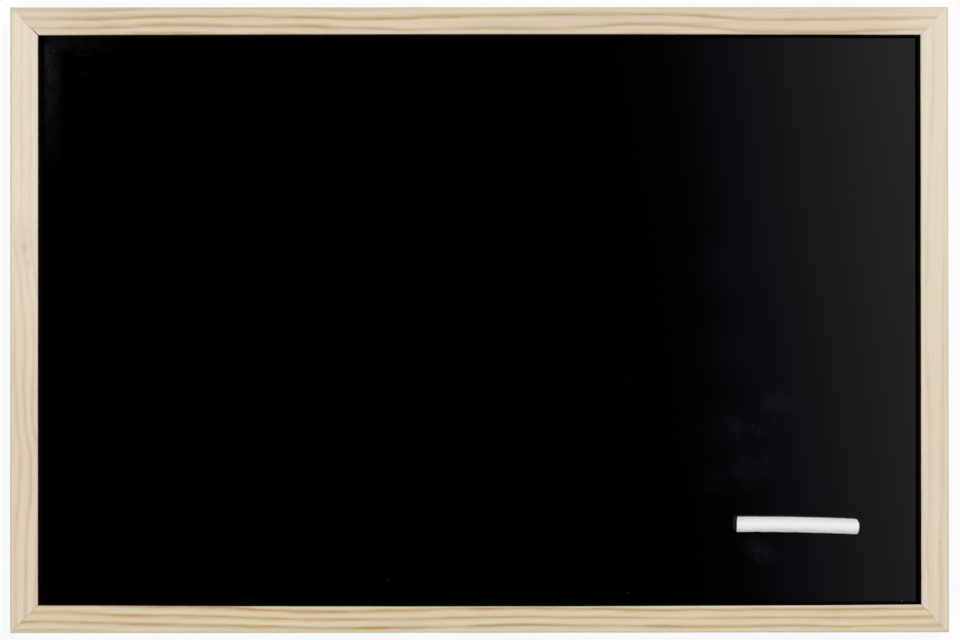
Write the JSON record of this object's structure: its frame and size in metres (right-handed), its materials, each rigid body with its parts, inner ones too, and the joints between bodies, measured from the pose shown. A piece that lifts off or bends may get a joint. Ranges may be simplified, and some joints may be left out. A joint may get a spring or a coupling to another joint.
{
  "type": "framed chalkboard",
  "caption": "Rectangular blackboard in a mitred pine frame, lying face up with a stick of chalk on it, strap hangers with swinging rings on its back.",
  "frame": {"origin": "under the middle of the board, on the surface that it lies on", "axes": "+X along the long side to the right, +Y up the face towards the top rail, +Z out of the writing face"},
  "size_m": [0.6, 0.4, 0.0203],
  "materials": {
    "pine": "satin",
    "panel": "satin",
    "zinc_plated_steel": "satin",
    "rubber": "matte",
    "chalk": "matte"
  },
  "bodies": {
    "board": {"bottom_rail": "pine", "right_rail": "pine", "top_rail": "pine", "left_rail": "pine", "writing_panel": "panel", "panel_point_bottom_1": "zinc_plated_steel", "panel_point_bottom_2": "zinc_plated_steel", "panel_point_bottom_3": "zinc_plated_steel", "panel_point_bottom_4": "zinc_plated_steel", "panel_point_right_1": "zinc_plated_steel", "panel_point_right_2": "zinc_plated_steel", "panel_point_right_3": "zinc_plated_steel", "panel_point_top_1": "zinc_plated_steel", "panel_point_top_2": "zinc_plated_steel", "panel_point_top_3": "zinc_plated_steel", "panel_point_top_4": "zinc_plated_steel", "panel_point_left_1": "zinc_plated_steel", "panel_point_left_2": "zinc_plated_steel", "panel_point_left_3": "zinc_plated_steel", "mitre_nail_bottom_left_outer": "zinc_plated_steel", "mitre_nail_bottom_left_inner": "zinc_plated_steel", "mitre_nail_bottom_right_outer": "zinc_plated_steel", "mitre_nail_bottom_right_inner": "zinc_plated_steel", "mitre_nail_top_right_outer": "zinc_plated_steel", "mitre_nail_top_right_inner": "zinc_plated_steel", "mitre_nail_top_left_outer": "zinc_plated_steel", "mitre_nail_top_left_inner": "zinc_plated_steel", "left_hanger_strap": "zinc_plated_steel", "right_hanger_strap": "zinc_plated_steel", "left_hanger_screw": "zinc_plated_steel", "right_hanger_screw": "zinc_plated_steel", "bumper_bottom_left": "rubber", "bumper_bottom_right": "rubber", "bumper_top_right": "rubber", "bumper_top_left": "rubber"},
    "chalk": {"chalk_stick": "chalk"},
    "left_ring": {"left_hanger_ring": "zinc_plated_steel"},
    "right_ring": {"right_hanger_ring": "zinc_plated_steel"}
  },
  "joints": [
    {"name": "chalk_lift", "type": "slide", "parent": "board", "child": "chalk", "axis": [0, 0, 1], "range_m": [0, 0.1]},
    {"name": "left_ring_swing", "type": "hinge", "parent": "board", "child": "left_ring", "pos_m": [-0.294, 0.11, 0.0019], "axis": [-1, 0, 0], "range_deg": [0, 175]},
    {"name": "right_ring_swing", "type": "hinge", "parent": "board", "child": "right_ring", "pos_m": [0.294, 0.11, 0.0019], "axis": [-1, 0, 0], "range_deg": [0, 175]}
  ]
}
